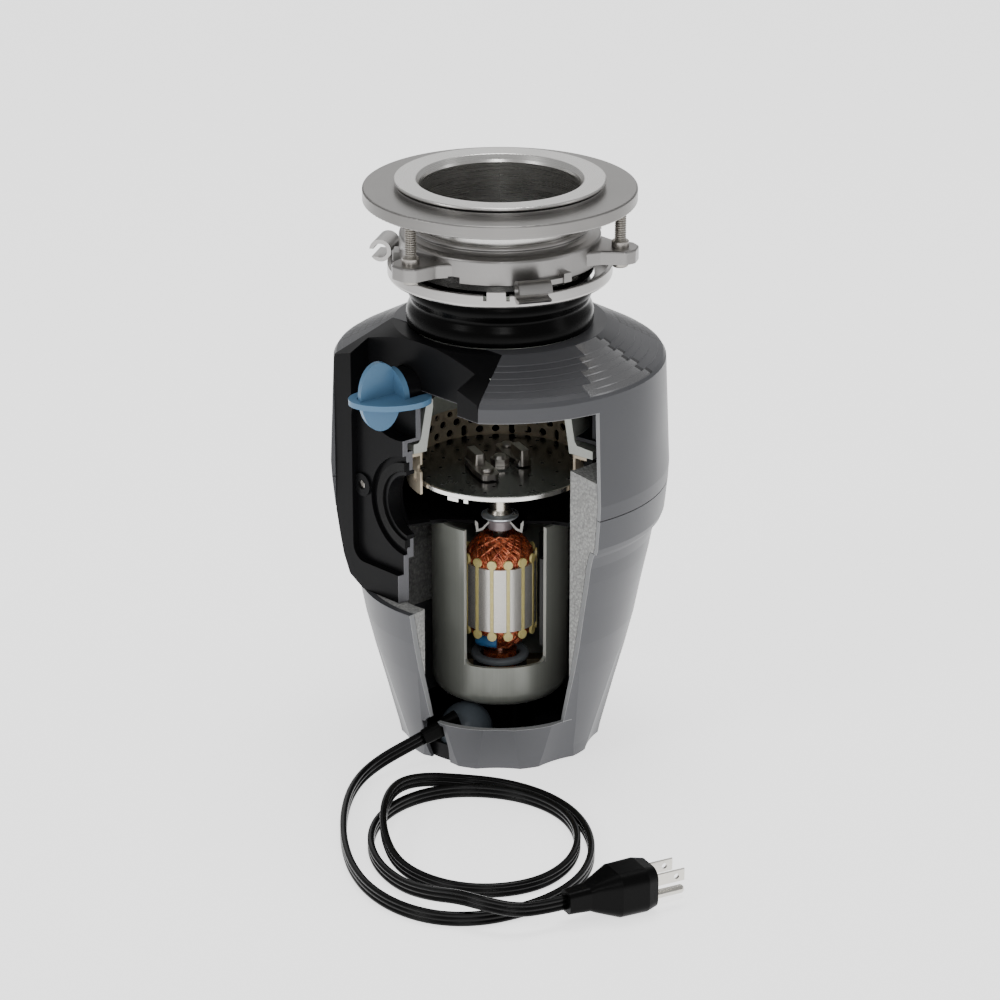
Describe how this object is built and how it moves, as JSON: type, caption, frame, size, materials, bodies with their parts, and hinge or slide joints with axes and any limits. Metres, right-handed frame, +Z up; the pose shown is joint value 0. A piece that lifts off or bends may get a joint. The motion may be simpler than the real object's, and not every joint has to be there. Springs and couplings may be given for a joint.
{
  "type": "garbage disposal",
  "caption": "Cutaway food waste disposer with a three-bolt sink mount, flanged throat, grinding turntable, open motor, side ports and a flat power cord with plug.",
  "frame": {"origin": "on the motor axis in the plane of the base, which stands on z = 0", "axes": "+Z up the motor axis to the sink flange, -Y out of the cut window, +X to the right seen from the window"},
  "size_m": [0.1885, 0.3391, 0.3255],
  "materials": {
    "brushed_steel": "satin",
    "zinc_steel": "satin",
    "dark_steel": "polished",
    "black_rubber": "glossy",
    "grey_shell": "satin",
    "black_plastic": "satin",
    "foam": "matte",
    "light_casting": "satin",
    "beige_steel": "satin",
    "blue_plastic": "glossy",
    "grey_plastic": "satin",
    "can_paint": "satin",
    "copper": "glossy",
    "brass": "satin",
    "core_steel": "satin",
    "yellow_film": "satin",
    "blue_putty": "matte",
    "ferrite": "matte",
    "carbon": "matte",
    "steel_blade": "polished",
    "board_green": "satin",
    "red_plastic": "glossy"
  },
  "bodies": {
    "housing": {"sink_flange": "brushed_steel", "sink_gasket": "black_rubber", "backing_ring": "zinc_steel", "snap_ring": "zinc_steel", "mounting_ring": "zinc_steel", "screw_collars": "zinc_steel", "neck_bellows": "black_rubber", "splash_guard": "black_rubber", "upper_shell": "grey_shell", "trim_band": "grey_shell", "lower_shell": "grey_shell", "port_panel": "black_plastic", "panel_screw": "dark_steel", "foam_insulation": "foam", "base_plate": "black_plastic", "terminal_cover": "grey_plastic", "motor_support": "black_plastic", "overload_protector": "black_plastic", "rectifier_board": "board_green", "chamber_casting": "light_casting", "chamber_bolts": "zinc_steel", "sound_baffle": "black_plastic", "shredder_ring": "beige_steel", "end_frame": "light_casting", "drain_outlet": "black_plastic", "port_seal": "black_rubber", "inlet_tube": "black_plastic", "bearing_housing": "light_casting", "motor_can": "can_paint", "magnets": "ferrite", "lower_bearing": "brass", "brush_ring": "grey_plastic", "brush_holders": "brass", "carbon_brushes": "carbon", "brush_springs": "zinc_steel", "strain_relief": "black_plastic", "power_cord": "black_plastic", "plug_body": "black_plastic", "plug_blades": "steel_blade", "ground_pin": "steel_blade"},
    "rotor": {"turntable": "dark_steel", "impeller_rivets": "zinc_steel", "hub_nut": "zinc_steel", "hub_sleeve": "brass", "slinger_washer": "zinc_steel", "motor_shaft": "core_steel", "armature_core": "core_steel", "slot_liners": "yellow_film", "winding_upper": "copper", "winding_lower": "copper", "balance_putty": "blue_putty", "commutator": "copper"},
    "impeller_lug_1": {"impeller_1": "zinc_steel"},
    "impeller_lug_2": {"impeller_2": "zinc_steel"},
    "lock_ring": {"locking_ring": "zinc_steel"},
    "screw_1": {"mounting_screw_1": "zinc_steel"},
    "screw_2": {"mounting_screw_2": "zinc_steel"},
    "screw_3": {"mounting_screw_3": "zinc_steel"},
    "plug_stopper": {"inlet_plug": "blue_plastic"},
    "button": {"reset_button": "red_plastic"}
  },
  "joints": [
    {"name": "turntable_spin", "type": "hinge", "parent": "housing", "child": "rotor", "pos_m": [0, 0, 0.1], "axis": [0, 0, 1], "continuous": true},
    {"name": "impeller_1_swing", "type": "hinge", "parent": "rotor", "child": "impeller_lug_1", "pos_m": [-0.007, -0.02, 0.162], "axis": [0, 0, 1], "range_deg": [-10, 60]},
    {"name": "impeller_2_swing", "type": "hinge", "parent": "rotor", "child": "impeller_lug_2", "pos_m": [0.004, 0.0185, 0.162], "axis": [0, 0, 1], "range_deg": [0, 60]},
    {"name": "locking_ring_turn", "type": "hinge", "parent": "housing", "child": "lock_ring", "pos_m": [0, 0, 0.275], "axis": [0, 0, 1], "range_deg": [-30, 0]},
    {"name": "mounting_screw_1_turn", "type": "hinge", "parent": "housing", "child": "screw_1", "pos_m": [-0.04709, -0.04709, 0.285], "axis": [0, 0, 1], "continuous": true},
    {"name": "mounting_screw_2_turn", "type": "hinge", "parent": "housing", "child": "screw_2", "pos_m": [0.06433, -0.01724, 0.285], "axis": [0, 0, 1], "continuous": true},
    {"name": "mounting_screw_3_turn", "type": "hinge", "parent": "housing", "child": "screw_3", "pos_m": [-0.01724, 0.06433, 0.285], "axis": [0, 0, 1], "continuous": true},
    {"name": "inlet_plug_pull", "type": "slide", "parent": "housing", "child": "plug_stopper", "axis": [-0.8448, -0.5279, -0.0872], "range_m": [0, 0.03]},
    {"name": "reset_button_press", "type": "slide", "parent": "housing", "child": "button", "axis": [0, 0, 1], "range_m": [0, 0.0015], "stiffness_N_per_m": 400, "springref_m": -0.001}
  ]
}
